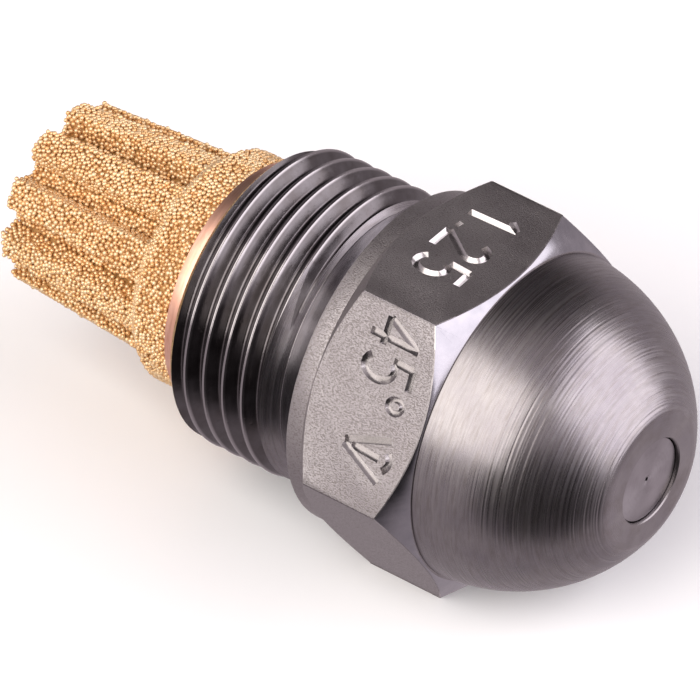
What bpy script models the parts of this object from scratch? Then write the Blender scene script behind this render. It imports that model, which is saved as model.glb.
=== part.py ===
"""Oil burner nozzle: a simplex pressure nozzle with a sintered bronze filter.

The nozzle's axis is +X, and the spray leaves towards +X.  +Z is up, through the
middle of one hexagon flat, so the nozzle lies on the flat opposite.  The origin
is on the axis, in the plane where the head ends and the 45 degree sealing cone
starts.  Sizes below are in millimetres; meshes are made in metres.
"""

import math

import bmesh
import bpy
from mathutils import Matrix, Vector

MM = 0.001

# ---------------------------------------------------------------- driving sizes
FACETS = 48                 # facets round the axis of the turned pieces
FIT_GAP = 0.06              # radial or axial clearance between pieces that meet

HEX_ACROSS_FLATS = 16.0
HEX_REAR_CORNER_X = 1.90
HEX_FRONT_CORNER_X = 5.83
REAR_CHAMFER_SLOPE = 1.20   # radius gained per millimetre of length
FRONT_CHAMFER_SLOPE = 1.30
COLLAR_RADIUS = 7.96        # round collar between the hexagon and the sealing cone

THREAD_PITCH = 25.4 / 24    # 9/16-24 UNEF
THREAD_RADIUS = 7.15
THREAD_CREST = 0.13         # width of the crest
THREAD_DEPTH = 0.62
THREAD_GROOVE_X = -8.484    # middle of the groove where it starts, level with +Y
THREAD_TURNS = 6.1

SHANK_END_X = -7.55
RELIEF_RADIUS = 6.42
RELIEF_X = (-1.75, -1.54)   # flat bottom of the relief groove
RELIEF_WALL = 0.32          # length of the sloping wall behind it
SEAT_CONE_FOOT = 1.50       # the 45 degree cone's length and its height

DOME_START_X = 6.86
DOME_ARC_CENTRE = (6.34, -1.01)
DOME_ARC_RADIUS = 8.86
NOSE_X = 14.10
NOSE_OPENING_RADIUS = 2.06
DISC_RECESS = 0.20          # how far the orifice disc lies behind the nose face

FERRULE_BORE_RADIUS = 5.90
FERRULE_BORE_END_X = -5.20
SCREW_BORE_RADIUS = 4.60
SCREW_BORE_END_X = 7.20
CHAMBER_RADIUS = 3.50
CHAMBER_END_X = 12.70

ORIFICE_RADIUS = 0.09
SWIRL_SLOTS = 4

FERRULE_REAR_X = -8.60
FERRULE_RADIUS = 5.76
FERRULE_BORE = 4.70

FILTER_REAR_X = -19.10
FILTER_LOBES = 10
FILTER_LOBE_ANGLE = 2.2     # degrees from +Y to the middle of the first lobe
LOBE_RADIUS_REAR = 4.46
LOBE_RADIUS_FRONT = 4.92
FLUTE_RADIUS_REAR = 3.45
FLUTE_RADIUS_FRONT = 3.90
FLUTE_END_X = -11.40
FILTER_COLLAR_RADIUS = 5.70
FILTER_COLLAR_X = -10.40
FILTER_BORE_RADIUS = 2.30
FILTER_FLOOR = 1.50

# ---------------------------------------------------------------- looks
STEEL = ("nozzle_steel", (0.36, 0.34, 0.37), 0.32, 1.0)
DISC_STEEL = ("orifice_steel", (0.46, 0.45, 0.47), 0.25, 1.0)
BRASS = ("insert_brass", (0.72, 0.56, 0.30), 0.30, 1.0)
COPPER = ("ferrule_copper", (0.80, 0.45, 0.33), 0.30, 1.0)
BRONZE = ("filter_bronze", (0.80, 0.58, 0.32), 0.45, 1.0)


def clear_scene():
    """Start from an empty scene."""
    for thing in list(bpy.data.objects):
        bpy.data.objects.remove(thing, do_unlink=True)


def material(finish):
    """A Principled material from a (name, colour, roughness, metallic) finish."""
    name, colour, roughness, metallic = finish
    made = bpy.data.materials.get(name)
    if made is None:
        made = bpy.data.materials.new(name)
        made.use_nodes = True
        shader = made.node_tree.nodes["Principled BSDF"]
        shader.inputs["Base Color"].default_value = (*colour, 1.0)
        shader.inputs["Roughness"].default_value = roughness
        shader.inputs["Metallic"].default_value = metallic
    return made


def on_circle(x, radius, degrees):
    """A point in metres at a station, radius and angle; the angle runs from +Y to +Z."""
    turn = math.radians(degrees)
    return Vector((x, radius * math.cos(turn), radius * math.sin(turn))) * MM


def finish_object(name, bm, finish):
    """Turn a bmesh into a linked object with clean normals and its material."""
    bmesh.ops.recalc_face_normals(bm, faces=bm.faces)
    mesh = bpy.data.meshes.new(name)
    bm.to_mesh(mesh)
    bm.free()
    made = bpy.data.objects.new(name, mesh)
    bpy.context.scene.collection.objects.link(made)
    if finish is not None:
        mesh.materials.append(material(finish))
        mesh.shade_smooth()
        mesh.set_sharp_from_angle(angle=math.radians(28))
    return made


def turned(name, outline, finish=None, facets=FACETS):
    """Spin an (x, radius) outline about the X axis into one closed solid."""
    bm = bmesh.new()
    corners = [bm.verts.new(on_circle(x, radius, 0)) for x, radius in outline]
    edges = [bm.edges.new(pair) for pair in zip(corners, corners[1:])]
    if outline[0][1] > 0:
        edges.append(bm.edges.new((corners[-1], corners[0])))
    bmesh.ops.spin(bm, geom=corners + edges, cent=(0, 0, 0), axis=(1, 0, 0),
                   angle=math.tau, steps=facets, use_merge=True)
    bmesh.ops.remove_doubles(bm, verts=bm.verts, dist=1e-6)
    return finish_object(name, bm, finish)


def cut_away(target, cutter, operation="DIFFERENCE"):
    """Add an exact Boolean to the target and hide the other shape as a guide."""
    step = target.modifiers.new(cutter.name, "BOOLEAN")
    step.operation = operation
    step.object = cutter
    step.solver = "EXACT"
    cutter.hide_render = True
    cutter.display_type = "WIRE"


def thread_cutter(name, radius, pitch, crest, depth, start_x, turns, facets):
    """A right-hand helical V groove, swept from one closed section by a spin."""
    outside = 0.05
    half_top = (pitch - crest) / 2 + outside * math.tan(math.radians(30))
    half_foot = (pitch - crest) / 2 - depth * math.tan(math.radians(30))
    section = [(-half_top, radius + outside), (half_top, radius + outside),
               (half_foot, radius - depth), (-half_foot, radius - depth)]
    bm = bmesh.new()
    corners = [bm.verts.new(on_circle(start_x + x, r, 0)) for x, r in section]
    face = bm.faces.new(corners)
    steps = round(turns * facets)
    bmesh.ops.spin(bm, geom=[face], cent=(0, 0, 0), axis=(1, 0, 0),
                   dvec=(pitch / facets * MM, 0, 0), angle=math.tau * turns,
                   steps=steps, use_merge=False)
    return finish_object(name, bm, None)


def box_cutter(name, low, high, turn_degrees=0.0):
    """A box between two corners in millimetres, then turned about the X axis."""
    size = Vector(high) - Vector(low)
    middle = (Vector(high) + Vector(low)) / 2
    bm = bmesh.new()
    bmesh.ops.create_cube(bm, size=1.0)
    bmesh.ops.scale(bm, vec=size * MM, verts=bm.verts)
    bmesh.ops.translate(bm, vec=middle * MM, verts=bm.verts)
    turn = Matrix.Rotation(math.radians(turn_degrees), 3, "X")
    bmesh.ops.rotate(bm, cent=(0, 0, 0), matrix=turn, verts=bm.verts)
    return finish_object(name, bm, None)


def dome_outline(points):
    """The nose's arc from its foot at the hexagon to the flat land at the tip."""
    centre_x, centre_r = DOME_ARC_CENTRE
    first = math.acos((DOME_START_X - centre_x) / DOME_ARC_RADIUS)
    last = math.acos((NOSE_X - centre_x) / DOME_ARC_RADIUS)
    outline = []
    for index in range(points + 1):
        angle = first + (last - first) * index / points
        outline.append((centre_x + DOME_ARC_RADIUS * math.cos(angle),
                        centre_r + DOME_ARC_RADIUS * math.sin(angle)))
    return outline


def make_hexagon():
    """The spanner hexagon, its corners turned off by a cone at each end."""
    corner = HEX_ACROSS_FLATS / math.sqrt(3)
    rear_x = 0.40
    rear_r = corner - (HEX_REAR_CORNER_X - rear_x) * REAR_CHAMFER_SLOPE
    front_r = corner - (DOME_START_X - HEX_FRONT_CORNER_X) * FRONT_CHAMFER_SLOPE
    blank = turned("hexagon_chamfer_guide", [
        (rear_x, 0), (rear_x, rear_r), (HEX_REAR_CORNER_X, corner),
        (HEX_FRONT_CORNER_X, corner), (DOME_START_X, front_r), (DOME_START_X, 0)])
    bm = bmesh.new()
    bmesh.ops.create_cone(bm, cap_ends=True, segments=6, radius1=corner * MM,
                          radius2=corner * MM, depth=8 * MM)
    stand_to_axis = Matrix.Rotation(math.radians(90), 3, "Y")
    bmesh.ops.rotate(bm, cent=(0, 0, 0), matrix=stand_to_axis, verts=bm.verts)
    bmesh.ops.rotate(bm, cent=(0, 0, 0), verts=bm.verts,
                     matrix=Matrix.Rotation(hexagon_turn(bm), 3, "X"))
    bmesh.ops.translate(bm, vec=(4 * MM, 0, 0), verts=bm.verts)
    hexagon = finish_object("hexagon_guide", bm, None)
    cut_away(hexagon, blank, "INTERSECT")
    return hexagon


def hexagon_turn(bm):
    """The turn that brings a corner of the hexagon onto +Y and a flat onto +Z."""
    corner = bm.verts[:][0].co
    return -math.atan2(corner.z, corner.y)


def make_body():
    """The steel nozzle body: threaded shank, sealing cone, hexagon and domed nose."""
    chamfer = 0.30
    outline = [
        (SHANK_END_X, 0), (SHANK_END_X, 6.70), (SHANK_END_X + chamfer, 6.70 + chamfer),
        (SHANK_END_X + 0.65, THREAD_RADIUS), (RELIEF_X[0] - RELIEF_WALL, THREAD_RADIUS),
        (RELIEF_X[0], RELIEF_RADIUS), (RELIEF_X[1], RELIEF_RADIUS),
        (-SEAT_CONE_FOOT, COLLAR_RADIUS - SEAT_CONE_FOOT), (0, COLLAR_RADIUS),
        (4.0, COLLAR_RADIUS), (6.2, 7.80)]
    outline += dome_outline(9)
    outline.append((NOSE_X, 0))
    body = turned("nozzle_body", outline, STEEL)
    cut_away(body, make_hexagon(), "UNION")
    groove = thread_cutter(
        "thread_groove_guide", THREAD_RADIUS, THREAD_PITCH, THREAD_CREST, THREAD_DEPTH,
        THREAD_GROOVE_X, THREAD_TURNS, FACETS)
    cut_away(body, groove)
    bore = turned("stepped_bore_guide", [
        (SHANK_END_X - 1, 0), (SHANK_END_X - 1, FERRULE_BORE_RADIUS),
        (FERRULE_BORE_END_X, FERRULE_BORE_RADIUS), (FERRULE_BORE_END_X, SCREW_BORE_RADIUS),
        (SCREW_BORE_END_X, SCREW_BORE_RADIUS), (SCREW_BORE_END_X, CHAMBER_RADIUS),
        (CHAMBER_END_X, CHAMBER_RADIUS), (CHAMBER_END_X, NOSE_OPENING_RADIUS),
        (NOSE_X + 1, NOSE_OPENING_RADIUS), (NOSE_X + 1, 0)])
    cut_away(body, bore)
    return body


def make_orifice_disc():
    """The hardened disc behind the nose opening: conical swirl chamber and spray hole."""
    face_x = NOSE_X - DISC_RECESS
    shoulder_x = CHAMBER_END_X - FIT_GAP
    rear_x = shoulder_x - 1.50
    cone_tip_x = face_x - 0.40
    cone_mouth = ORIFICE_RADIUS + (cone_tip_x - rear_x)
    return turned("orifice_disc", [
        (rear_x, cone_mouth), (rear_x, CHAMBER_RADIUS - FIT_GAP),
        (shoulder_x, CHAMBER_RADIUS - FIT_GAP), (shoulder_x, NOSE_OPENING_RADIUS - FIT_GAP),
        (face_x, NOSE_OPENING_RADIUS - FIT_GAP), (face_x, ORIFICE_RADIUS),
        (cone_tip_x, ORIFICE_RADIUS)], DISC_STEEL)


def make_distributor():
    """The swirl cone: tangential slots in its cone, flats that let the oil past its collar."""
    rear_x = 6.30
    collar_x = 8.60
    cone_foot_x = 11.05
    cone_foot_r = 2.44
    tip_r = 0.60
    distributor = turned("swirl_distributor", [
        (rear_x, 0), (rear_x, 1.30), (collar_x, 1.30), (collar_x, 3.30),
        (cone_foot_x, 3.30), (cone_foot_x, cone_foot_r),
        (cone_foot_x + cone_foot_r - tip_r, tip_r),
        (cone_foot_x + cone_foot_r - tip_r, 0)], BRASS)
    for index in range(SWIRL_SLOTS):
        turn = 360 / SWIRL_SLOTS * index
        slot = box_cutter("swirl_slot_guide_%d" % index, (cone_foot_x - 0.25, 0.45, 0.0),
                          (cone_foot_x + 3.0, 0.85, 4.0), turn)
        cut_away(distributor, slot)
        flat = box_cutter("oil_flat_guide_%d" % index, (collar_x - 0.5, -3.0, 2.75),
                          (cone_foot_x + 0.1, 3.0, 4.0), turn + 45)
        cut_away(distributor, flat)
    return distributor


def make_lock_screw():
    """The hollow screw that clamps the distributor and disc against the nose."""
    rear_x = 1.20
    front_x = 8.45
    shaft_radius = 4.45
    fine_pitch = 0.75
    screw = turned("lock_screw", [
        (rear_x, 1.45), (rear_x, shaft_radius - 0.4), (rear_x + 0.4, shaft_radius),
        (SCREW_BORE_END_X - 1.0, shaft_radius), (SCREW_BORE_END_X - 0.5, 3.35),
        (front_x, 3.35), (front_x, 1.45)], BRASS, 40)
    groove = thread_cutter("lock_screw_groove_guide", shaft_radius, fine_pitch, 0.10, 0.40,
                           rear_x - 0.4, 7.0, 24)
    cut_away(screw, groove)
    slot = box_cutter("driver_slot_guide", (rear_x - 1, -6.0, -0.60), (rear_x + 1.2, 6.0, 0.60))
    cut_away(screw, slot)
    port = box_cutter("oil_port_guide", (front_x - 0.75, -5.0, -0.55), (front_x + 1, 5.0, 0.55), 45)
    cut_away(screw, port)
    return screw


def make_ferrule():
    """The copper ring that carries the filter in the body's rear bore."""
    lip = 0.12
    front_x = FERRULE_BORE_END_X - FIT_GAP
    return turned("filter_ferrule", [
        (FERRULE_REAR_X, FERRULE_BORE), (FERRULE_REAR_X, FERRULE_RADIUS - lip),
        (FERRULE_REAR_X + lip, FERRULE_RADIUS), (front_x, FERRULE_RADIUS),
        (front_x, FERRULE_BORE)], COPPER)


def lobed_ring(bm, x, lobe_radius, flute_radius):
    """One cross-section of the fluted filter: flat-topped lobes with flutes between."""
    pattern = [(-9, lobe_radius), (-3, lobe_radius), (3, lobe_radius), (9, lobe_radius),
               (13, flute_radius), (18, flute_radius), (23, flute_radius)]
    ring = []
    for lobe in range(FILTER_LOBES):
        middle = FILTER_LOBE_ANGLE + 360 / FILTER_LOBES * lobe
        ring += [bm.verts.new(on_circle(x, r, middle + degrees)) for degrees, r in pattern]
    return ring


def make_filter():
    """The sintered bronze filter: a fluted cup with a round collar and a neck."""
    neck = FERRULE_BORE - FIT_GAP
    collar_front_x = FERRULE_REAR_X - FIT_GAP
    neck_end_x = FERRULE_BORE_END_X - 0.4
    floor_x = FILTER_REAR_X + FILTER_FLOOR
    stations = [
        (FILTER_REAR_X, 1.6, 1.6), (FILTER_REAR_X, LOBE_RADIUS_REAR - 0.12, FLUTE_RADIUS_REAR - 0.12),
        (FILTER_REAR_X + 0.12, LOBE_RADIUS_REAR, FLUTE_RADIUS_REAR),
        (FLUTE_END_X, LOBE_RADIUS_FRONT, FLUTE_RADIUS_FRONT), (FLUTE_END_X + 0.3, 5.0, 4.95),
        (FLUTE_END_X + 0.4, 5.10, 5.10), (FILTER_COLLAR_X, FILTER_COLLAR_RADIUS, FILTER_COLLAR_RADIUS),
        (collar_front_x, FILTER_COLLAR_RADIUS, FILTER_COLLAR_RADIUS), (collar_front_x, neck, neck),
        (neck_end_x, neck, neck), (neck_end_x, FILTER_BORE_RADIUS, FILTER_BORE_RADIUS),
        (floor_x, FILTER_BORE_RADIUS, FILTER_BORE_RADIUS)]
    bm = bmesh.new()
    rings = [lobed_ring(bm, *station) for station in stations]
    for near, far in zip(rings, rings[1:]):
        for index in range(len(near)):
            after = (index + 1) % len(near)
            bm.faces.new((near[index], near[after], far[after], far[index]))
    bm.faces.new(rings[0])
    bm.faces.new(rings[-1])
    return finish_object("filter_element", bm, BRONZE)


def main():
    """Build every piece of the nozzle."""
    clear_scene()
    make_body()
    make_orifice_disc()
    make_distributor()
    make_lock_screw()
    make_ferrule()
    make_filter()


main()
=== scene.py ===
# %% [markdown]
# # Oil burner nozzle: the looks
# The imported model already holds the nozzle's six pieces at their true places and sizes. This lesson
# puts the visible surfaces on it: a turned steel body with a rolled thread and a stamped hexagon, the
# copper ring that holds the filter, and the filter itself, a cup of small bronze beads fused together.
# The nozzle's axis is +X, with the spray leaving towards +X, and it lies on one flat of its hexagon.

import math

import bmesh
import bpy
import numpy as np
from mathutils import Matrix, Vector


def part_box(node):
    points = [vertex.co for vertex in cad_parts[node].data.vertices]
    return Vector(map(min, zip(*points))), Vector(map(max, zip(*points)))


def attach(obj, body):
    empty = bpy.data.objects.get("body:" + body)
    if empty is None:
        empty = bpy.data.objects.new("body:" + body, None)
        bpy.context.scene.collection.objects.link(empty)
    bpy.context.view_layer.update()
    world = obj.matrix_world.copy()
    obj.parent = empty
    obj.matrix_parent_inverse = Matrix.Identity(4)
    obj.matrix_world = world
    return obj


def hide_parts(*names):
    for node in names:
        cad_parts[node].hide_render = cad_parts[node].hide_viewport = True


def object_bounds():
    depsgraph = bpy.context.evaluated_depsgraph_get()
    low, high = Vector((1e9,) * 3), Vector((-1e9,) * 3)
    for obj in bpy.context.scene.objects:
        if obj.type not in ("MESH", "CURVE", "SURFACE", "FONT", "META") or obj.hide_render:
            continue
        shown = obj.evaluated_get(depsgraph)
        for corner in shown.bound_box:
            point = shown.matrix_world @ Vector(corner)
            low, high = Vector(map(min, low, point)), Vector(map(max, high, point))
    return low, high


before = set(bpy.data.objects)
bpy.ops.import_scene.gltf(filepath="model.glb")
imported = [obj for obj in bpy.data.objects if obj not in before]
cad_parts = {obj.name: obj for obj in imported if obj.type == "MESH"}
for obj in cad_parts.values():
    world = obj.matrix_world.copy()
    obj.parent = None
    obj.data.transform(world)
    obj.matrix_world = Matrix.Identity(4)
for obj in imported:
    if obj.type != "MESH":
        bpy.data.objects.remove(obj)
cad_low, cad_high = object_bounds()
MM = 0.001
print("CAD box in mm", [round(v / MM, 2) for v in (*cad_low, *cad_high)])

# %% [markdown]
# The places that the fine pieces need are read from the CAD nodes' boxes. The few turned diameters that
# a box can't give, such as the foot of the sealing cone, are named here, in millimetres.

# %% Read the driving places from the frame
body_low, body_high = (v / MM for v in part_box("nozzle_body"))
ferrule_low, ferrule_high = (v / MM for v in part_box("filter_ferrule"))
filter_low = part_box("filter_element")[0] / MM
disc_low, disc_high = (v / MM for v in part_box("orifice_disc"))

SHANK_END = body_low.x
NOSE = body_high.x
ACROSS_FLATS = 2 * body_high.z
CORNER = ACROSS_FLATS / math.sqrt(3)
COLLAR = 7.96
SEAT_CONE = 1.50             # the sealing cone's length and its height
RELIEF, RELIEF_END = 6.43, -1.56
PITCH = 25.4 / 24
THREAD = 7.15
THREAD_ROOT = 6.64
CLEAR_OF_THREAD = 7.25       # a radius outside all the crests
CREST_AT_Y = -7.955          # a crest's place level with +Y, whole pitches apart from the others
HEX_REAR, HEX_FRONT, DOME_FOOT = 1.90, 5.83, 6.86
REAR_SLOPE, FRONT_SLOPE = 1.20, 1.30
ARC_X, ARC_R, ARC, NOSE_ROUND = 6.34, -1.01, 8.86, 0.9
NOSE_OPENING, SPRAY_HOLE = 2.06, 0.09
DISC_SHOULDER = 12.70
FERRULE_BORE, SCREW_BORE, SCREW_BORE_END, CHAMBER = 5.90, 4.60, 7.20, 3.50
print("shank end", round(SHANK_END, 2), "nose", round(NOSE, 2), "flats", round(ACROSS_FLATS, 2))

# %% [markdown]
# Operators act on whatever is selected, so each piece starts with nothing selected. Two helpers cover
# most of the turned work. The first draws an outline the way it is drawn by hand: one vertex, extruded
# from point to point. The second spins that outline about the nozzle's axis and welds its seam.


# %% Helpers for drawing and turning
def only(piece):
    """Make one object the only selected and the active one."""
    if bpy.context.object and bpy.context.object.mode != "OBJECT":
        bpy.ops.object.mode_set(mode="OBJECT")
    bpy.ops.object.select_all(action="DESELECT")
    piece.select_set(True)
    bpy.context.view_layer.objects.active = piece


def drawn(name, outline):
    """A chain of edges through (x, radius) points in millimetres, in the plane of +Y."""
    bpy.ops.object.select_all(action="DESELECT")
    first = Vector((outline[0][0], outline[0][1], 0)) * MM
    bpy.ops.mesh.primitive_plane_add(size=MM, location=first)
    piece = bpy.context.object
    piece.name = name
    bpy.ops.object.transform_apply(location=True)
    bpy.ops.object.mode_set(mode="EDIT")
    bpy.ops.mesh.select_all(action="SELECT")
    bpy.ops.mesh.merge(type="CENTER")
    for near, far in zip(outline, outline[1:]):
        step = Vector((far[0] - near[0], far[1] - near[1], 0)) * MM
        bpy.ops.mesh.extrude_region_move(TRANSFORM_OT_translate={"value": step})
    bpy.ops.object.mode_set(mode="OBJECT")
    return piece


def turned(name, outline, facets=192):
    """Spin an outline about the X axis into a closed solid; it starts and ends on the axis or on itself."""
    piece = drawn(name, outline)
    bpy.ops.object.mode_set(mode="EDIT")
    bpy.ops.mesh.select_all(action="SELECT")
    bpy.ops.mesh.spin(steps=facets, angle=math.tau, center=(0, 0, 0), axis=(1, 0, 0))
    bpy.ops.mesh.select_all(action="SELECT")
    bpy.ops.mesh.remove_doubles(threshold=0.001 * MM)
    bpy.ops.mesh.normals_make_consistent(inside=False)
    bpy.ops.object.mode_set(mode="OBJECT")
    return piece


def combine(target, other, operation):
    """Apply a Boolean of two closed meshes to the target and remove the other one."""
    only(target)
    step = target.modifiers.new("combine", "BOOLEAN")
    step.operation = operation
    step.solver = "MANIFOLD"
    step.object = other
    bpy.ops.object.modifier_apply(modifier=step.name)
    bpy.data.objects.remove(other, do_unlink=True)
    return target


def count(piece):
    """A line about a piece's mesh: faces, and edges that don't have two faces."""
    bm = bmesh.new()
    bm.from_mesh(piece.data)
    loose = sum(1 for edge in bm.edges if len(edge.link_faces) != 2)
    volume = bm.calc_volume() / MM ** 3
    bm.free()
    return f"{piece.name}: {len(piece.data.polygons)} faces, {loose} open edges, {volume:.1f} mm3"


def finish_piece(piece, material, slot, *nodes, smooth=28):
    """Shade a finished piece, give it its material, and tie it to the frame."""
    only(piece)
    bpy.ops.object.shade_smooth_by_angle(angle=math.radians(smooth))
    piece.data.materials.clear()
    piece.data.materials.append(material)
    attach(piece, "root")
    if nodes:
        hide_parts(*nodes)
    print(count(piece))


print("helpers ready")

# %% [markdown]
# The camera looks down on the nozzle from in front of its nose. A wide lens close by would make the nose
# look swollen, so it stands half a metre away with a very long lens, and parallel edges stay nearly
# parallel. Its axes are worked out from the angles and set as one matrix, because the roll then needs no
# tracking constraint.

# %% Camera
AZIMUTH, ELEVATION, ROLL = math.radians(38.68), math.radians(40.99), math.radians(-1.45)
AIM = Vector((-1.74, -1.13, 0.24)) * MM
DISTANCE = 538.4 * MM

toward = Vector((math.sin(AZIMUTH) * math.cos(ELEVATION),
                 -math.cos(AZIMUTH) * math.cos(ELEVATION), math.sin(ELEVATION)))
level_right = Vector((math.cos(AZIMUTH), math.sin(AZIMUTH), 0))
level_up = toward.cross(level_right)
right = level_right * math.cos(ROLL) + level_up * math.sin(ROLL)
up = toward.cross(right)
camera_data = bpy.data.cameras.new("camera")
camera_data.lens, camera_data.sensor_width = 623.4, 36
camera = bpy.data.objects.new("camera", camera_data)
bpy.context.scene.collection.objects.link(camera)
camera.matrix_world = (Matrix.Translation(AIM + toward * DISTANCE)
                       @ Matrix((right, up, toward)).transposed().to_4x4())
bpy.context.scene.camera = camera
print("camera at", [round(v, 3) for v in camera.location])

# %% [markdown]
# Bare metal shows its surroundings more than itself, so the lamps are what gives the steel its form. Two
# large soft boxes do it, one warm at the front and one cool beyond the nose, as in a light tent. A box's
# width and height are given as angles, because a reflection depends on those and not on metres.


# %% Soft boxes
def direction(azimuth, elevation):
    """A unit vector: azimuth 0 points along -Y and 90 along +X."""
    a, e = math.radians(azimuth), math.radians(elevation)
    return Vector((math.sin(a) * math.cos(e), -math.cos(a) * math.cos(e), math.sin(e)))


def soft_box(name, azimuth, elevation, wide, high, radiance, colour, distance=0.9):
    """A rectangular light whose width and height are given as angles seen from the nozzle."""
    data = bpy.data.lights.new(name, "AREA")
    data.shape = "RECTANGLE"
    data.size = 2 * distance * math.tan(math.radians(wide / 2))
    data.size_y = 2 * distance * math.tan(math.radians(high / 2))
    data.energy = radiance * math.pi * data.size * data.size_y
    data.color = colour
    lamp = bpy.data.objects.new(name, data)
    bpy.context.scene.collection.objects.link(lamp)
    away = direction(azimuth, elevation)
    lamp.location = away * distance
    lamp.rotation_mode = "QUATERNION"
    lamp.rotation_quaternion = away.to_track_quat("Z", "Y")
    return lamp


soft_box("soft_box_front", azimuth=-3, elevation=40, wide=66, high=62, radiance=2.8, colour=(1.0, 0.955, 0.905))
soft_box("soft_box_nose", azimuth=115, elevation=27, wide=70, high=58, radiance=2.45, colour=(0.98, 0.935, 0.985))

# %% [markdown]
# The surround is a grey that is nearly black in two quarters, which puts the dark bands on the dome, and
# a little brighter under the nose. A ready-made studio sky would do the same, but three quarters can be
# moved one by one. Each is the dot product of the ray and a direction, ramped smoothly. The camera itself
# sees an even pale backdrop instead.


# %% Surround
def toned_quarter(nodes, links, base, azimuth, elevation, full, fade, factor):
    """Multiply the surround round a direction, fully inside one angle and not at all past another."""
    coordinates = nodes.new("ShaderNodeTexCoord")
    closeness = nodes.new("ShaderNodeVectorMath")
    closeness.operation = "DOT_PRODUCT"
    closeness.inputs[1].default_value = direction(azimuth, elevation)
    links.new(coordinates.outputs["Generated"], closeness.inputs[0])
    ramp = nodes.new("ShaderNodeMapRange")
    ramp.interpolation_type = "SMOOTHSTEP"
    ramp.inputs["From Min"].default_value = math.cos(math.radians(fade))
    ramp.inputs["From Max"].default_value = math.cos(math.radians(full))
    ramp.inputs["To Min"].default_value = 1.0
    ramp.inputs["To Max"].default_value = factor
    links.new(closeness.outputs["Value"], ramp.inputs["Value"])
    scaled = nodes.new("ShaderNodeVectorMath")
    scaled.operation = "SCALE"
    links.new(base, scaled.inputs[0])
    links.new(ramp.outputs["Result"], scaled.inputs["Scale"])
    return scaled.outputs["Vector"]


world = bpy.data.worlds.new("surround")
bpy.context.scene.world = world
world.use_nodes = True
nodes, links = world.node_tree.nodes, world.node_tree.links
nodes.clear()
grey = nodes.new("ShaderNodeRGB")
grey.outputs[0].default_value = (0.54, 0.468, 0.503, 1)
tone = toned_quarter(nodes, links, grey.outputs[0], azimuth=46, elevation=-16, full=26, fade=42, factor=0.08)
tone = toned_quarter(nodes, links, tone, azimuth=-147, elevation=48, full=20, fade=50, factor=0.13)
tone = toned_quarter(nodes, links, tone, azimuth=141, elevation=-41, full=14, fade=40, factor=1.32)
surround = nodes.new("ShaderNodeBackground")
links.new(tone, surround.inputs["Color"])
backdrop = nodes.new("ShaderNodeBackground")
backdrop.inputs["Color"].default_value = (0.9, 0.9, 0.9, 1)
path = nodes.new("ShaderNodeLightPath")
chooser = nodes.new("ShaderNodeMixShader")
links.new(path.outputs["Is Camera Ray"], chooser.inputs["Fac"])
links.new(surround.outputs[0], chooser.inputs[1])
links.new(backdrop.outputs[0], chooser.inputs[2])
output = nodes.new("ShaderNodeOutputWorld")
links.new(chooser.outputs[0], output.inputs["Surface"])
bpy.context.scene.view_settings.view_transform = "Standard"
print("surround", world.name, "with", len(nodes), "nodes")

# %% [markdown]
# The floor is a large pale matte plane just under the flat that the nozzle lies on. It takes the shadow
# and throws light up from below, but the steel doesn't mirror it, because a white floor in the lower half
# of the dome would hide the dome's form.

# %% Floor
FLOOR_WIDTH, FLOOR_GAP = 6, 0.02 * MM
bpy.ops.object.select_all(action="DESELECT")
bpy.ops.mesh.primitive_plane_add(size=FLOOR_WIDTH, location=(0, 0, cad_low.z - FLOOR_GAP))
floor = bpy.context.object
floor.name = "floor"
floor.visible_glossy = False
pale = bpy.data.materials.new("pale_floor")
pale.use_nodes = True
pale_shader = pale.node_tree.nodes["Principled BSDF"]
pale_shader.inputs["Base Color"].default_value = (0.93, 0.95, 0.95, 1)
pale_shader.inputs["Roughness"].default_value = 0.9
floor.data.materials.append(pale)
print("floor at", round(floor.location.z / MM, 2), "mm")

# %% [markdown]
# All the finishes are made of the same few steps: noise on the piece's own coordinates, remapped to a
# range, mixed into a colour or turned into a bump. Each step is a small helper that adds its nodes and
# returns the socket for the next one, so a finish below reads as a short recipe. Painted textures could
# show more single scratches, but they would need an unwrapped mesh and a file beside the script.


# %% Helpers for node materials
def blank_material(name):
    """A new node material: returns it with its nodes, links and Principled shader."""
    made = bpy.data.materials.new(name)
    made.use_nodes = True
    tree = made.node_tree
    return made, tree.nodes, tree.links, tree.nodes["Principled BSDF"]


def noise_along(nodes, links, stretch, scale, detail, roughness):
    """Noise on Object coordinates, so many cells per metre, with each axis scaled by its own stretch."""
    coordinates = nodes.new("ShaderNodeTexCoord")
    mapping = nodes.new("ShaderNodeMapping")
    mapping.inputs["Scale"].default_value = stretch
    links.new(coordinates.outputs["Object"], mapping.inputs["Vector"])
    noise = nodes.new("ShaderNodeTexNoise")
    noise.inputs["Scale"].default_value = scale
    noise.inputs["Detail"].default_value = detail
    noise.inputs["Roughness"].default_value = roughness
    links.new(mapping.outputs["Vector"], noise.inputs["Vector"])
    return noise.outputs["Fac"]


def remapped(nodes, links, value, low, high, to_low, to_high):
    """A value carried from one range to another, clamped."""
    ramp = nodes.new("ShaderNodeMapRange")
    for name, number in (("From Min", low), ("From Max", high), ("To Min", to_low), ("To Max", to_high)):
        ramp.inputs[name].default_value = number
    links.new(value, ramp.inputs["Value"])
    return ramp.outputs["Result"]


FIRST_COLOUR, SECOND_COLOUR, COLOUR_OUT = 6, 7, 2   # a Mix node's colour sockets follow its others


def mixed(nodes, links, factor, first, second):
    """A colour between two, each given as three numbers or as another step's socket."""
    mix = nodes.new("ShaderNodeMix")
    mix.data_type = "RGBA"
    for index, colour in ((FIRST_COLOUR, first), (SECOND_COLOUR, second)):
        if isinstance(colour, tuple):
            mix.inputs[index].default_value = (*colour, 1)
        else:
            links.new(colour, mix.inputs[index])
    links.new(factor, mix.inputs["Factor"])
    return mix.outputs[COLOUR_OUT]


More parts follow.
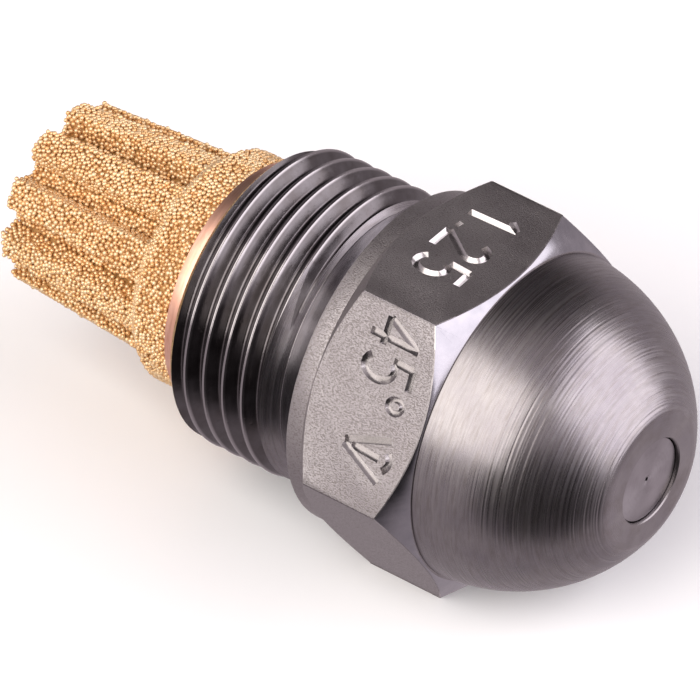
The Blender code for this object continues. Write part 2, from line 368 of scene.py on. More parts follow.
def bumped(nodes, links, height, distance):
    """A bump of so many millimetres."""
    bump = nodes.new("ShaderNodeBump")
    bump.inputs["Strength"].default_value = 1.0
    bump.inputs["Distance"].default_value = distance * MM
    links.new(height, bump.inputs["Height"])
    return bump.outputs["Normal"]


def ring_tangent(nodes, links, shader):
    """Anisotropy that runs round the nozzle's axis."""
    tangent = nodes.new("ShaderNodeTangent")
    tangent.direction_type = "RADIAL"
    tangent.axis = "X"
    links.new(tangent.outputs["Tangent"], shader.inputs["Tangent"])


print("material helpers ready")

# %% [markdown]
# Turned steel has fine rings round the axis. They stretch every highlight across them, which the
# anisotropic shading gives, and a fine noise that changes only along the axis gives the rings themselves.
# Cutting each ring into the mesh would take millions of faces, so only the coarse tool marks are real.
# A little cloudy variation stands for handling and oil, and short specks for stains caught in the rings.


# %% Turned finishes
def turned_metal(name, dark, light, stain, rough, bump_mm, anisotropy):
    """Metal straight from the lathe: rings in its height and roughness, clouds and specks in its colour."""
    made, nodes, links, shader = blank_material(name)
    shader.inputs["Metallic"].default_value = 1.0
    shader.inputs["Anisotropic"].default_value = anisotropy
    ring_tangent(nodes, links, shader)
    rings = noise_along(nodes, links, (1, 0.006, 0.006), 14000, 3, 0.7)
    clouds = noise_along(nodes, links, (1, 1, 1), 420, 5, 0.65)
    specks = noise_along(nodes, links, (1, 0.12, 0.12), 8000, 3, 0.6)
    base = mixed(nodes, links, remapped(nodes, links, clouds, 0.35, 0.65, 0, 1), dark, light)
    stained = mixed(nodes, links, remapped(nodes, links, specks, 0.45, 0.75, 0, 0.6), base, stain)
    links.new(stained, shader.inputs["Base Color"])
    links.new(remapped(nodes, links, rings, 0.3, 0.7, rough[0], rough[1]), shader.inputs["Roughness"])
    links.new(bumped(nodes, links, rings, bump_mm), shader.inputs["Normal"])
    return made


steel_turned = turned_metal("steel_turned", dark=(0.245, 0.228, 0.240), light=(0.295, 0.278, 0.280),
                            stain=(0.185, 0.165, 0.155), rough=(0.20, 0.36), bump_mm=0.0030, anisotropy=0.5)
steel_disc = turned_metal("steel_disc", dark=(0.29, 0.27, 0.285), light=(0.36, 0.34, 0.355),
                          stain=(0.24, 0.22, 0.23), rough=(0.32, 0.44), bump_mm=0.0030, anisotropy=0.65)
copper_ring = turned_metal("copper_ring", dark=(0.88, 0.48, 0.33), light=(0.97, 0.62, 0.47),
                           stain=(0.70, 0.36, 0.24), rough=(0.30, 0.42), bump_mm=0.0010, anisotropy=0.2)
print("turned:", steel_turned.name, steel_disc.name, copper_ring.name)

# %% [markdown]
# The hexagon keeps the skin of the drawn bar: satin, with small pits drawn out along the bar. The
# same noise sinks the pits and paints them dark, a painted shade in each pit, so colour and relief agree.


# %% Drawn skin
# The pits' colour is painted shade.
PIT_SHADE_COLOUR, PIT_DEPTH = (0.25, 0.23, 0.22), 0.007


def drawn_skin(name, dark, light):
    """Cold-drawn steel: fine pits stretched along X with painted shade in them, and a broad stain."""
    made, nodes, links, shader = blank_material(name)
    shader.inputs["Metallic"].default_value = 1.0
    pits = noise_along(nodes, links, (0.50, 1, 1), 19000, 3, 0.6)
    stain = noise_along(nodes, links, (0.6, 1, 1), 420, 4, 0.6)
    # Painted shade: one pit mask both sinks the pits and darkens their colour.
    deep = remapped(nodes, links, pits, 0.38, 0.54, 0, 1)
    colour = mixed(nodes, links, remapped(nodes, links, stain, 0.3, 0.7, 0, 1), dark, light)
    links.new(mixed(nodes, links, deep, PIT_SHADE_COLOUR, colour), shader.inputs["Base Color"])
    links.new(remapped(nodes, links, stain, 0.3, 0.7, 0.36, 0.46), shader.inputs["Roughness"])
    links.new(bumped(nodes, links, deep, PIT_DEPTH), shader.inputs["Normal"])
    return made


steel_drawn = drawn_skin("steel_drawn", (0.335, 0.312, 0.316), (0.42, 0.398, 0.400))
print("drawn:", steel_drawn.name)

# %% [markdown]
# The beads are bronze that shines where it is round. One material serves them all: it reads a number
# that every bead carries in its mesh, so no two neighbours need the same tint. The plainer metals, which
# show little or lie inside, share one cloudy tarnish.


# %% Beads and plain metals
def bead_bronze(name):
    """Sintered beads: the tint attribute runs from brown gold to pale gold; it holds a random tone and, on the
    deeper beads, painted shade.
    """
    made, nodes, links, shader = blank_material(name)
    shader.inputs["Metallic"].default_value = 0.65
    shader.inputs["Roughness"].default_value = 0.42
    tint = nodes.new("ShaderNodeAttribute")
    tint.attribute_name = "tint"
    links.new(mixed(nodes, links, tint.outputs["Fac"], (0.80, 0.49, 0.215), (0.94, 0.74, 0.46)),
              shader.inputs["Base Color"])
    return made


def dull_metal(name, dark, light, roughness, metallic=1.0):
    """A metal with a cloudy tarnish."""
    made, nodes, links, shader = blank_material(name)
    shader.inputs["Metallic"].default_value = metallic
    clouds = noise_along(nodes, links, (1, 1, 1), 900, 3, 0.6)
    links.new(mixed(nodes, links, remapped(nodes, links, clouds, 0.35, 0.65, 0, 1), dark, light),
              shader.inputs["Base Color"])
    links.new(remapped(nodes, links, clouds, 0.3, 0.7, roughness - 0.05, roughness + 0.05),
              shader.inputs["Roughness"])
    return made


steel_struck = dull_metal("steel_struck", (0.42, 0.405, 0.40), (0.52, 0.50, 0.50), 0.24)
steel_polished = dull_metal("steel_polished", (0.29, 0.285, 0.31), (0.36, 0.35, 0.375), 0.17)
bronze_beads = bead_bronze("bronze_beads")
# The core's darker brown is painted shade for the bead layers under the surface.
bronze_core_shaded = dull_metal("bronze_core_shaded", (0.46, 0.25, 0.08), (0.60, 0.34, 0.12), 0.6, 0.2)
brass_turned = dull_metal("brass_turned", (0.66, 0.48, 0.22), (0.78, 0.60, 0.32), 0.32)
print("plain:", steel_struck.name, steel_polished.name, bronze_beads.name, bronze_core_shaded.name, brass_turned.name)

# %% [markdown]
# The thread's flanks are painted dark, a painted shade for the grooves, and its crests are painted
# bright, a painted highlight. Two materials would meet in a hard line, so one material asks how far each
# point is from the axis and goes from dark to bright over the last tenth of a millimetre.


# %% Rolled thread finish
# The painted crest highlight fades in between these two radii.
CREST_HIGHLIGHT_FROM, CREST_HIGHLIGHT_TO = (THREAD - 0.10) * MM, (THREAD - 0.03) * MM
NICK_DEPTH = 0.003


def rolled_metal(name, dark, light, crest):
    """Rolled thread: painted shade on the flanks, a painted highlight along the crests, with small nicks."""
    made, nodes, links, shader = blank_material(name)
    shader.inputs["Metallic"].default_value = 1.0
    coordinates = nodes.new("ShaderNodeTexCoord")
    across = nodes.new("ShaderNodeVectorMath")
    across.operation = "MULTIPLY"
    across.inputs[1].default_value = (0, 1, 1)
    links.new(coordinates.outputs["Object"], across.inputs[0])
    radius = nodes.new("ShaderNodeVectorMath")
    radius.operation = "LENGTH"
    links.new(across.outputs["Vector"], radius.inputs[0])
    clouds = noise_along(nodes, links, (1, 1, 1), 900, 4, 0.6)
    # Painted shade: the flanks' dark colours stand for the shade in the grooves; the clouds vary its tone.
    flank = mixed(nodes, links, remapped(nodes, links, clouds, 0.35, 0.65, 0, 1), dark, light)
    # Painted highlight: the colour brightens towards the crests, by distance from the axis.
    crest_highlight_mask = remapped(nodes, links, radius.outputs["Value"], CREST_HIGHLIGHT_FROM, CREST_HIGHLIGHT_TO, 0, 1)
    links.new(mixed(nodes, links, crest_highlight_mask, flank, crest), shader.inputs["Base Color"])
    links.new(remapped(nodes, links, clouds, 0.3, 0.7, 0.16, 0.26), shader.inputs["Roughness"])
    nicks = noise_along(nodes, links, (1, 1, 1), 5200, 2, 0.5)
    nicked = remapped(nodes, links, nicks, 0.22, 0.36, 0, 1)
    links.new(bumped(nodes, links, nicked, NICK_DEPTH), shader.inputs["Normal"])
    return made


# The first two colours are painted shade for the flanks, the third is the painted crest highlight.
steel_rolled = rolled_metal("steel_rolled", (0.095, 0.085, 0.085), (0.14, 0.13, 0.135), (0.36, 0.34, 0.345))
print("rolled:", steel_rolled.name)

# %% [markdown]
# The thread is rolled, so its crest is two small lips with a seam between them, and its roots are
# round. It could be faked with rings, but then its crests would not climb. So one pitch of the outline is
# drawn and the Screw modifier carries it round and along. Planes then cut off the loose ends and close
# them, and a Boolean with a turned blank gives the chamfered start and the run-out into the relief.


# %% Threaded rod
THREAD_TURNS = 9
ROD_REAR, ROD_FRONT = SHANK_END - 0.4, -1.2


def thread_outline():
    """One pitch from root to root, as (offset along the axis, radius): round root, straight flank, lip."""
    lip, seam, flank = 0.07, 0.008, math.radians(51)
    straight, shoulder = 0.345, THREAD - 0.02
    foot = (-lip - straight, shoulder - straight * math.tan(flank))
    points = [(-PITCH / 2, THREAD_ROOT), (-PITCH / 2 + 0.035, THREAD_ROOT + 0.006),
              (-PITCH / 2 + 0.07, THREAD_ROOT + 0.026), foot,
              (-lip - straight / 2, (foot[1] + shoulder) / 2), (-lip, shoulder),
              (-lip + 0.018, THREAD - 0.004), (-lip + 0.035, THREAD), (-lip + 0.052, THREAD - 0.003),
              (0.0, THREAD - seam)]
    mirrored = [(-x, r) for x, r in reversed(points[:-1])]
    return points + mirrored


def threaded_rod(facets=144):
    """A closed rod with the thread all along it."""
    first = CREST_AT_Y - PITCH
    rod = drawn("threaded_rod", [(first + x, r) for x, r in thread_outline()])
    only(rod)
    screw = rod.modifiers.new("thread", "SCREW")
    screw.axis = "X"
    screw.angle = math.tau
    screw.screw_offset = PITCH * MM
    screw.iterations = THREAD_TURNS
    screw.steps = screw.render_steps = facets
    screw.use_merge_vertices = True
    screw.merge_threshold = 0.002 * MM
    bpy.ops.object.modifier_apply(modifier=screw.name)
    bpy.ops.object.mode_set(mode="EDIT")
    bpy.ops.mesh.select_all(action="SELECT")
    bpy.ops.mesh.remove_doubles(threshold=0.002 * MM)
    for x, keep_front in ((ROD_REAR, True), (ROD_FRONT, False)):
        bpy.ops.mesh.select_all(action="SELECT")
        bpy.ops.mesh.bisect(plane_co=(x * MM, 0, 0), plane_no=(1, 0, 0), use_fill=True,
                            threshold=0.0001 * MM, clear_inner=keep_front, clear_outer=not keep_front)
    bpy.ops.mesh.select_all(action="SELECT")
    bpy.ops.mesh.remove_doubles(threshold=0.001 * MM)
    bpy.ops.mesh.normals_make_consistent(inside=False)
    bpy.ops.object.mode_set(mode="OBJECT")
    return rod


rod = threaded_rod()
print(count(rod))
shank_blank = turned("shank_blank", [
    (SHANK_END, 0), (SHANK_END, 6.66), (SHANK_END + 0.05, 6.72), (SHANK_END + 0.32, 6.99),
    (SHANK_END + 0.62, CLEAR_OF_THREAD), (RELIEF_END - (CLEAR_OF_THREAD - RELIEF), CLEAR_OF_THREAD),
    (RELIEF_END, RELIEF), (RELIEF_END, 0)])
combine(rod, shank_blank, "INTERSECT")
print(count(rod))

# %% [markdown]
# The rest of the body is turned from one outline: relief groove, sealing cone, collar and the dome with
# its flat land. Spinning an outline is how the lathe makes it too. Tool marks on the dome are real ridges
# a few thousandths of a millimetre high, deepest near the nose, where the tool was least steady: bump
# alone can't break up the edge of a highlight as they do.


# %% Turned body
SHALLOW, DEEPENING = 0.0014, 0.0072
DEEPENS_FROM, DEEPENS_OVER = 2.2, 3.5      # distances along the dome's arc
FEED, CHATTER = 31.0, 53.0                 # radians per millimetre of arc
MARKS_FADE_IN, ROUND_STEPS = 6, 14


def tool_mark(along):
    """Height of the tool marks at a distance along the dome's arc, in millimetres."""
    deep = SHALLOW + DEEPENING * min(max((along - DEEPENS_FROM) / DEEPENS_OVER, 0), 1)
    feed = along * FEED + 3.0 * math.sin(along * 2.3) + 1.6 * math.sin(along * 6.1)
    ridge = math.cos(feed) * (0.55 + 0.45 * math.sin(along * 9.7)) + 0.35 * math.cos(along * CHATTER)
    return deep * ridge / 2


def dome_points(step=0.034):
    """The dome's arc from its foot, then the round that leads into the land, with tool marks on both."""
    start = math.acos((DOME_FOOT - ARC_X) / ARC)
    end = math.acos((NOSE - NOSE_ROUND - ARC_X) / (ARC - NOSE_ROUND))
    steps = round((start - end) * ARC / step)
    points = []
    for index in range(steps + 1):
        angle = start + (end - start) * index / steps
        radius = ARC + tool_mark((start - angle) * ARC) * min(1, index / MARKS_FADE_IN)
        points.append((ARC_X + radius * math.cos(angle), ARC_R + radius * math.sin(angle)))
    middle = (NOSE - NOSE_ROUND, ARC_R + (ARC - NOSE_ROUND) * math.sin(end))
    for index in range(1, ROUND_STEPS + 1):
        angle = end * (1 - index / ROUND_STEPS)
        radius = NOSE_ROUND - 0.004 * (index % 2)
        points.append((middle[0] + radius * math.cos(angle), middle[1] + radius * math.sin(angle)))
    return points


def land_points(outer, inner, x, pitch=0.13, depth=0.008):
    """Facing marks on the flat land, from its rim in to the opening."""
    steps = round((outer - inner) / pitch) * 2
    return [(x - (depth if index % 2 else 0), outer + (inner - outer) * index / steps)
            for index in range(steps + 1)]


BODY_REAR = -1.95            # inside the shank, where the two are joined
DISC_FACE = DISC_SHOULDER - 0.4
dome = dome_points()
land_rim = dome[-1][1] - 0.05
outline = [(BODY_REAR, 0), (BODY_REAR, RELIEF), (RELIEF_END + 0.02, RELIEF), (-SEAT_CONE, COLLAR - SEAT_CONE),
           (-0.05, COLLAR - 0.05), (-0.02, COLLAR - 0.012), (0.03, COLLAR), (4.0, COLLAR), (6.2, 7.80)]
outline += dome
outline += land_points(land_rim, NOSE_OPENING + 0.02, NOSE)
outline += [(NOSE - 0.02, NOSE_OPENING), (DISC_FACE, NOSE_OPENING), (DISC_FACE, 0)]
body = turned("nozzle_body_fine", outline, facets=168)
print(count(body))

# %% [markdown]
# The hexagon is a six-sided prism whose corners are turned off by a cone at each end. The curved edges
# on the flats are hard to draw but fall out by themselves when the prism meets a turned blank in a
# Boolean, and a narrow bevel gives them the small bright break that a real spanner hexagon has.


# %% Hexagon
BAR_MIDDLE, BAR_LENGTH = 4.0, 8.0
BLANK_REAR = 0.40
EDGE_BREAK = 0.03


def hexagon_prism():
    """The bar: corners at +Y and every 60 degrees, a flat on top."""
    bpy.ops.object.select_all(action="DESELECT")
    bpy.ops.mesh.primitive_cylinder_add(vertices=6, radius=CORNER * MM, depth=BAR_LENGTH * MM,
                                        location=(BAR_MIDDLE * MM, 0, 0), rotation=(0, math.pi / 2, 0))
    prism = bpy.context.object
    prism.name = "hexagon"
    bpy.ops.object.transform_apply(location=True, rotation=True)
    corner = max((v.co for v in prism.data.vertices), key=lambda co: co.y)
    turn = -math.atan2(corner.z, corner.y)
    prism.data.transform(Matrix.Rotation(turn, 4, "X"))
    return prism


def break_edges(piece, width, angle):
    """Bevel the edges sharper than an angle, as one stroke of a file does."""
    only(piece)
    bevel = piece.modifiers.new("edge_break", "BEVEL")
    bevel.width = width * MM
    bevel.segments = 1
    bevel.limit_method = "ANGLE"
    bevel.angle_limit = math.radians(angle)
    bevel.use_clamp_overlap = False
    bpy.ops.object.modifier_apply(modifier=bevel.name)


hexagon = hexagon_prism()
rear_radius = CORNER - (HEX_REAR - BLANK_REAR) * REAR_SLOPE
front_radius = CORNER - (DOME_FOOT - HEX_FRONT) * FRONT_SLOPE
chamfer_blank = turned("chamfer_blank", [
    (BLANK_REAR, 0), (BLANK_REAR, rear_radius), (HEX_REAR, CORNER), (HEX_FRONT, CORNER),
    (DOME_FOOT, front_radius), (DOME_FOOT, 0)])
combine(hexagon, chamfer_blank, "INTERSECT")
break_edges(hexagon, EDGE_BREAK, 25)
print(count(hexagon))

# %% [markdown]
# The three solids overlap a little, so two unions make them one closed piece. Left as three, they would
# show seams, and the bore would have to be cut three times.

# %% Join the body
combine(body, hexagon, "UNION")
combine(body, rod, "UNION")
print(count(body))

# %% [markdown]
# The bore is stepped: a wide seat for the copper ring, a long bore for the lock screw, and the narrow
# chamber that holds the orifice disc. It is cut from the rear with one turned cutter, as a drill would,
# so the pieces inside lie in open space. The cutter flares at the nose for the opening's small chamfer.

# %% Stepped bore
OVERRUN = 0.5                # how far the cutter stands out at each end
ferrule_step = ferrule_high.x + 0.06
bore = turned("bore_cutter", [
    (SHANK_END - OVERRUN, 0), (SHANK_END - OVERRUN, FERRULE_BORE), (ferrule_step, FERRULE_BORE),
    (ferrule_step, SCREW_BORE), (SCREW_BORE_END, SCREW_BORE), (SCREW_BORE_END, CHAMBER),
    (DISC_SHOULDER, CHAMBER), (DISC_SHOULDER, NOSE_OPENING), (NOSE - 0.06, NOSE_OPENING),
    (NOSE + OVERRUN, NOSE_OPENING + OVERRUN), (NOSE + OVERRUN, 0)], facets=160)
combine(body, bore, "DIFFERENCE")
print(count(body))

# %% [markdown]
# The marks are struck with single-character punches, so each groove is a V with its raised metal
# pressed flat again, and neighbouring characters don't quite line up. The marks here are general ones:
# a size figure on one flat, and the spray angle with a sign for a spray cone on the next. A font would
# give letters of even thickness with flat floors, so the characters are drawn here as single strokes.

# %% The characters
STROKE, FINE_STROKE = 0.36, 0.28     # width of a groove at the surface, in millimetres


def arc(centre, radii, start, end, steps=14):
    """Points of an ellipse's arc; angles in degrees from the character's right, anticlockwise."""
    points = []
    for index in range(steps + 1):
        a = math.radians(start + (end - start) * index / steps)
        points.append((centre[0] + radii[0] * math.cos(a), centre[1] + radii[1] * math.sin(a)))
    return points


CHARACTERS = {
    "1": [[(-0.42, 0.72), (0.02, 1.24)], [(0.02, 1.30), (0.02, -1.28)]],
    "point": [[(-0.02, -1.30), (0.02, -1.04)]],
    "2": [arc((0, 0.64), (0.52, 0.62), 170, -30, 12), [(0.44, 0.32), (-0.56, -1.20)],
          [(-0.60, -1.26), (0.62, -1.26)]],
    "4": [[(0.28, 1.30), (0.28, -1.30)], [(0.26, 1.26), (-0.62, -0.50)], [(-0.66, -0.52), (0.66, -0.52)]],
    "5": [[(-0.42, 1.26), (0.54, 1.26)], [(-0.42, 1.26), (-0.50, 0.18)],
          arc((0.0, -0.46), (0.56, 0.80), 128, -140)],
    "degree": [arc((0, 0.80), (0.32, 0.38), 80, 440, 18)],
    "spray": [[(-0.08, -1.22), (-1.02, 1.02)], [(0.08, -1.22), (1.02, 1.02)],
              arc((0, -1.24), (1.05, 2.50), 66, 114, 8), [(0, -0.80), (0, 0.70)]],
}
print("characters", list(CHARACTERS))

# %% [markdown]
# Each stroke becomes a curve whose section is a square standing on its edge, which is a V below the
# surface. The curve is made a mesh, put in its place on the flat and cut out of it.


# %% Stamped marks
def stroke(points, place, width):
    """One punch stroke as a closed mesh; place carries (right, up) millimetres to the flat."""
    curve = bpy.data.curves.new("stroke", "CURVE")
    curve.dimensions = "3D"
    curve.bevel_depth = width / 2 * MM
    curve.bevel_resolution = 0
    curve.twist_mode = "Z_UP"
    curve.use_fill_caps = True
    closed = math.dist(points[0], points[-1]) < 0.01
    if closed:
        points = points[:-1]
    spline = curve.splines.new("POLY")
    spline.points.add(len(points) - 1)
    spline.use_cyclic_u = closed
    for point, (across, along) in zip(spline.points, points):
        point.co = (across * MM, along * MM, 0, 1)
    piece = bpy.data.objects.new("stroke", curve)
    bpy.context.scene.collection.objects.link(piece)
    only(piece)
    bpy.ops.object.convert(target="MESH")
    bpy.ops.object.mode_set(mode="EDIT")
    bpy.ops.mesh.select_all(action="SELECT")
    bpy.ops.mesh.remove_doubles(threshold=0.001 * MM)
    bpy.ops.mesh.normals_make_consistent(inside=False)
    bpy.ops.object.mode_set(mode="OBJECT")
    piece.data.transform(place)
    return piece


def flat_place(angle, across, x, tilt=0.0):
    """From a character's plane to a hexagon flat: up is +X, and angle is the flat's, from +Y to +Z."""
    a = math.radians(angle)
    normal = Vector((0, math.cos(a), math.sin(a)))
    along = Vector((1, 0, 0)).cross(normal)
    turn = Matrix((along, Vector((1, 0, 0)), normal)).transposed().to_4x4()
    spot = (normal * ACROSS_FLATS / 2 + along * across + Vector((x, 0, 0))) * MM
    return Matrix.Translation(spot) @ turn @ Matrix.Rotation(math.radians(tilt), 4, "Z")


# character, the flat's angle, place across and along the flat in millimetres, tilt in degrees
MARKS = [
    ("1", 90, -2.45, 3.66, 2), ("point", 90, -1.42, 3.70, 0), ("2", 90, -0.30, 3.62, -1),
    ("5", 90, 1.42, 3.68, 1),
    ("4", 150, -3.45, 4.16, -1), ("5", 150, -1.80, 4.26, 2), ("degree", 150, -0.46, 4.34, 0),
    ("spray", 150, 2.00, 4.45, -3),
]
for name, angle, across, x, tilt in MARKS:
    for points in CHARACTERS[name]:
        width = FINE_STROKE if name == "degree" else STROKE
        groove = stroke(points, flat_place(angle, across, x, tilt), width)
        print(name, count(groove))
        combine(body, groove, "DIFFERENCE")
print(count(body))
finish_piece(body, steel_turned, "turned_steel", "nozzle_body", smooth=22)

# %% [markdown]
# One piece of steel shows five finishes. The flats and the collar are drawn bar, the grooves in them are
# struck, the thread is rolled, the sealing cone and the front chamfer are cut with a sharp tool and
# shine, and the rest is turned. Cutting the body into five pieces would leave seams, so each face gets
# its material by where it lies and which way it looks: a flat's face is half a width from the axis, a
# groove's face is a little nearer, and a chamfer's leans by its own slope.

# %% Which metal each face of the body has
METALS = [steel_turned, steel_drawn, steel_struck, steel_rolled, steel_polished]
TURNED, DRAWN, STRUCK, ROLLED, POLISHED = range(len(METALS))
HALF_WIDTH = ACROSS_FLATS / 2 * MM
FLAT_NORMALS = [Vector((0, math.cos(math.radians(a)), math.sin(math.radians(a)))) for a in range(30, 390, 60)]
CHAMFER_LEAN = FRONT_SLOPE / math.hypot(FRONT_SLOPE, 1)
RUN_OUT_LEAN = math.sqrt(0.5)
THREAD_CORE = 6.3            # a radius under all the thread's roots
MARK_DEPTH, MARKS_END = 0.2, 6.2


def metal_on_hexagon(face):
    """Drawn for a face that lies in a flat, struck for one just under it, or None."""
    for normal in FLAT_NORMALS:
        distance, facing = face.center.dot(normal), face.normal.dot(normal)
        if facing > 0.9995 and abs(distance - HALF_WIDTH) < 0.002 * MM:
            return DRAWN
        if (HEX_REAR < face.center.x / MM < MARKS_END and abs(face.normal.x) < 0.74 and facing > 0.3
                and HALF_WIDTH - MARK_DEPTH * MM < distance < HALF_WIDTH):
            return STRUCK
    return None


def metal_of(face):
    """Which of the body's metals a face shows."""
    x, radius, lean = face.center.x / MM, face.center.yz.length / MM, face.normal.x
    on_hexagon = metal_on_hexagon(face)
    if on_hexagon is not None:
        return on_hexagon
    if x < RELIEF_END:
        return ROLLED if radius > THREAD_CORE and abs(lean - RUN_OUT_LEAN) > 0.01 else TURNED
    if x < 0:
        return POLISHED if lean < -0.5 and radius > RELIEF else TURNED
    if x < HEX_REAR and radius > COLLAR - 0.01:
        return DRAWN
    if x < DOME_FOOT and radius > COLLAR - 0.4 and abs(lean - CHAMFER_LEAN) < 0.03:
        return POLISHED
    return TURNED


for metal in METALS[1:]:
    body.data.materials.append(metal)
for face in body.data.polygons:
    face.material_index = metal_of(face)
shown = [face.material_index for face in body.data.polygons]
print("faces of each metal:", {metal.name: shown.count(index) for index, metal in enumerate(METALS)})

# %% [markdown]
# The orifice disc is hardened and ground. Its face shows faint rings round the spray hole, which is
# under a fifth of a millimetre wide, and behind the hole it opens to a cone. It is spun from one closed
# outline like the body, and the rings are ripples of that outline.

# %% Orifice disc
CONE_MOUTH, DISC_RADIUS, DISC_EDGE = 2.34, 3.44, 2.03
RINGS, RINGS_FROM, RINGS_TO = 23, 2.00, 0.30
flange = DISC_SHOULDER - 0.06
disc_face = []
for index in range(RINGS + 1):
    share = index / RINGS
    wave = 0.0022 * math.sin(index * 2.4) + 0.0016 * math.sin(index * 4.1)
    disc_face.append((disc_high.x - 0.002 + wave, RINGS_FROM + (RINGS_TO - RINGS_FROM) * share))
disc = turned("orifice_disc_fine", [
    (disc_low.x, CONE_MOUTH), (disc_low.x, DISC_RADIUS), (flange, DISC_RADIUS), (flange, DISC_EDGE),
    (disc_high.x - 0.03, DISC_EDGE)] + disc_face + [
    (disc_high.x - 0.035, 0.16), (disc_high.x - 0.06, SPRAY_HOLE), (disc_high.x - 0.40, SPRAY_HOLE),
    (disc_low.x, CONE_MOUTH)], facets=128)
finish_piece(disc, steel_disc, "disc_steel", "orifice_disc", smooth=30)

# %% [markdown]
# The copper ring is pressed into the body and stands out behind it. It is turned smooth and has begun to
# tarnish. Pressing has made its visible band slightly barrel-shaped, which matters: a true cylinder
# would catch the soft box all along or not at all, and the barrel gives one soft highlight.

# %% Copper ring
PRESSED = 0.09               # how much wider the ring is than its CAD solid, as pressing swells it
ring_outer, ring_inner = ferrule_high.y + PRESSED, 4.70
BULGE = 0.03                 # about how far the band's edges lie under its fullest place
BAND_STEPS, FULLEST = 8, 0.8
band_start, band_end = ferrule_low.x + 0.05, SHANK_END + 0.05
band = []
for index in range(BAND_STEPS + 1):
    share = index / BAND_STEPS
    band.append((band_start + (band_end - band_start) * share, ring_outer - BULGE * (2 * share - FULLEST) ** 2))
ring = turned("filter_ferrule_fine", [
    (ferrule_low.x, ring_inner + 0.05), (ferrule_low.x, ring_outer - 0.16),
    (ferrule_low.x + 0.015, ring_outer - 0.10)] + band + [
    (ferrule_high.x - 0.1, ring_outer - BULGE), (ferrule_high.x, ring_outer - 0.1),
    (ferrule_high.x, ring_inner), (ferrule_low.x + 0.05, ring_inner), (ferrule_low.x, ring_inner + 0.05)])
finish_piece(ring, copper_ring, "ferrule_copper", "filter_ferrule", smooth=35)

# %% [markdown]
# The filter is bronze beads a fifth of a millimetre wide, poured into a mould and sintered. They lie
# close against the mould's wall at random, and a second layer shows through the gaps. A bump texture
# would leave the filter's outline smooth, so the beads are real. They are set out by throwing darts on
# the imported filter's outer faces and keeping each one that lands clear of its neighbours.

# %% Where the beads lie
BEAD = 0.222                 # mean width of a bead
GAP = 0.166                  # least distance between two centres
LAYERS = ((0.0, 130000), (0.15, 60000))   # depth under the surface, darts thrown


def outer_triangles(node):
    """The filter's visible triangles, as (corners, outward normal) in millimetres."""
    mesh = node.data
    mesh.calc_loop_triangles()
    found = []
    for triangle in mesh.loop_triangles:
        corners = [node.matrix_world @ mesh.vertices[i].co / MM for i in triangle.vertices]
        normal = (corners[1] - corners[0]).cross(corners[2] - corners[0])
        middle = sum(corners, Vector()) / 3
        side = math.hypot(middle.y, middle.z) > 3.0 and middle.x < ferrule_low.x - 0.1
        rear = middle.x < filter_low.x + 0.02
        if normal.length > 1e-9 and (side or rear):
            found.append((corners, normal))
    return found


def is_clear(centre, taken):
    """True when no bead already set has its centre nearer than GAP."""
    cell = [math.floor(n / GAP) for n in centre]
    for step in STEPS:
        for other in taken.get((cell[0] + step[0], cell[1] + step[1], cell[2] + step[2]), ()):
            if (other - centre).length_squared < GAP * GAP:
                return False
    return True


def throw_beads(triangles, depth, darts, taken):
    """Set beads at a depth under the surface; returns (centre, radius, depth) for each one kept."""
    areas = np.array([normal.length for corners, normal in triangles])
    picks = chance.choice(len(triangles), darts, p=areas / areas.sum())
    numbers = chance.random((darts, 3))
    kept = []
    for pick, (u, v, size) in zip(picks, numbers):
        (a, b, c), normal = triangles[pick]
        if u + v > 1:
            u, v = 1 - u, 1 - v
        radius = BEAD / 2 * (0.86 + 0.28 * size)
        centre = a + (b - a) * u + (c - a) * v - normal.normalized() * (radius + depth)
        if is_clear(centre, taken):
            taken.setdefault(tuple(math.floor(n / GAP) for n in centre), []).append(centre)
            kept.append((centre, radius, depth))
    return kept


STEPS = [(x, y, z) for x in (-1, 0, 1) for y in (-1, 0, 1) for z in (-1, 0, 1)]
chance = np.random.default_rng(7)
filter_node = bpy.data.objects["filter_element"]
triangles = outer_triangles(filter_node)
taken = {}
beads = []
for depth, darts in LAYERS:
    beads += throw_beads(triangles, depth, darts, taken)
    print(len(triangles), "triangles,", len(beads), "beads so far")

# %% [markdown]
# One bead is a small sphere of forty faces, smooth shaded. Thousands of separate objects would be slow,
# so its copies are joined into one mesh for each tenth of the way round, as the filter has ten lobes.
# Every bead is turned at random and gets its own tint, and the deeper ones are painted browner, a
# painted shade for the layer under the surface.


# %% Beads
LOBES, FIRST_LOBE = 10, 2.2  # the first lobe's angle from +Y, in degrees
# Painted shade: the deeper layer's tints reach only this share of the way to pale gold.
DEEP_BEAD_SHADE = 0.45


def one_bead():
    """Corner places and faces of a sphere of unit radius."""
    bpy.ops.object.select_all(action="DESELECT")
    bpy.ops.mesh.primitive_uv_sphere_add(segments=8, ring_count=5, radius=1, location=(0, 0, 0))
    ball = bpy.context.object
    corners = np.array([v.co[:] for v in ball.data.vertices])
    faces = [list(face.vertices) for face in ball.data.polygons]
    bpy.data.objects.remove(ball, do_unlink=True)
    return corners, faces


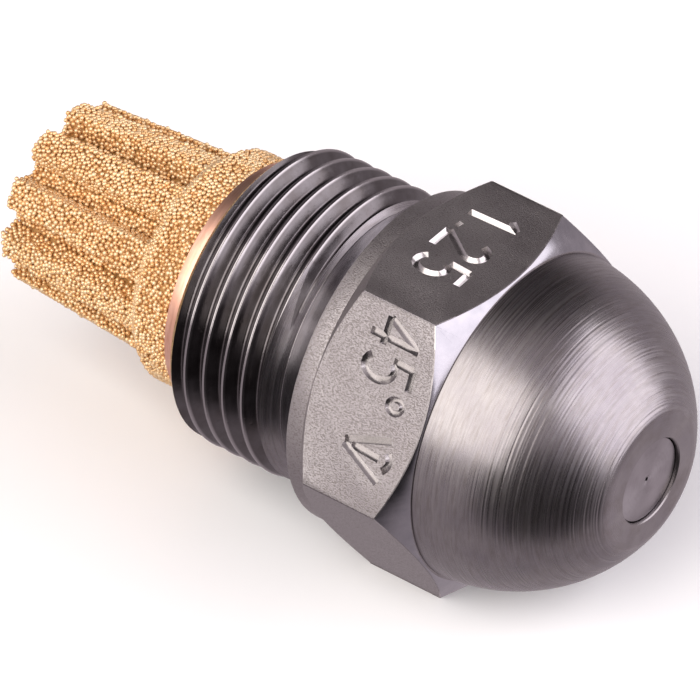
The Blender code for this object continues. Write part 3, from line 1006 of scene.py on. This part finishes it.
def bead_cluster(name, group, corners, faces):
    """Many beads as one mesh with a tint for each bead."""
    places, polygons, tints = [], [], []
    for number, (centre, radius, depth) in enumerate(group):
        turn = np.array(Matrix.Rotation(chance.random() * math.tau, 3, "X")
                        @ Matrix.Rotation(chance.random() * math.pi, 3, "Z"))
        places.append((corners * radius) @ turn.T + np.array(centre))
        polygons += [[i + number * len(corners) for i in face] for face in faces]
        # A random tint for each bead, kept browner on the deeper layer as painted shade.
        tint = chance.random() * (1.0 if depth == 0 else DEEP_BEAD_SHADE)
        tints.append(np.full(len(corners), tint))
    mesh = bpy.data.meshes.new(name)
    mesh.from_pydata((np.concatenate(places) * MM).tolist(), [], polygons)
    mesh.attributes.new("tint", "FLOAT", "POINT").data.foreach_set("value", np.concatenate(tints))
    mesh.polygons.foreach_set("use_smooth", [True] * len(mesh.polygons))
    mesh.update()
    piece = bpy.data.objects.new(name, mesh)
    bpy.context.scene.collection.objects.link(piece)
    piece.data.materials.append(bronze_beads)
    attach(piece, "root")
    return piece


corners, faces = one_bead()
sectors = [[] for lobe in range(LOBES)]
for bead in beads:
    turn = math.degrees(math.atan2(bead[0].z, bead[0].y)) - FIRST_LOBE + 180 / LOBES
    sectors[int(turn % 360 // (360 / LOBES))].append(bead)
for index, group in enumerate(sectors):
    cluster = bead_cluster(f"filter_beads_{index + 1}", group, corners, faces)
    print(cluster.name, len(group), "beads,", len(cluster.data.polygons), "faces")

# %% [markdown]
# Behind the beads the filter is a porous mass that little light gets out of. More layers of beads would
# cost a million faces that nobody sees, so a copy of the imported filter, drawn in by a little more than a
# bead and painted a darker brown as painted shade for those layers, stands for them.

# %% Filter core
DRAWN_IN = 0.26
bpy.ops.object.select_all(action="DESELECT")
core = filter_node.copy()
core.data = filter_node.data.copy()
core.name = "filter_core"
bpy.context.scene.collection.objects.link(core)
only(core)
bpy.ops.object.mode_set(mode="EDIT")
bpy.ops.mesh.select_all(action="SELECT")
bpy.ops.mesh.remove_doubles(threshold=0.001 * MM)
bpy.ops.mesh.normals_make_consistent(inside=False)
bpy.ops.transform.shrink_fatten(value=-DRAWN_IN * MM)
bpy.ops.object.mode_set(mode="OBJECT")
finish_piece(core, bronze_core_shaded, "sintered_bronze", "filter_element", smooth=30)

# %% [markdown]
# The lock screw and the swirl distributor are inside, where nobody sees them. New meshes would add
# nothing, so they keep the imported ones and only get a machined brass.

# %% Pieces inside
for name in ("lock_screw", "swirl_distributor"):
    node = bpy.data.objects[name]
    node.data.materials.clear()
    node.data.materials.append(brass_turned)
    print(name, "keeps its packed mesh in", brass_turned.name)
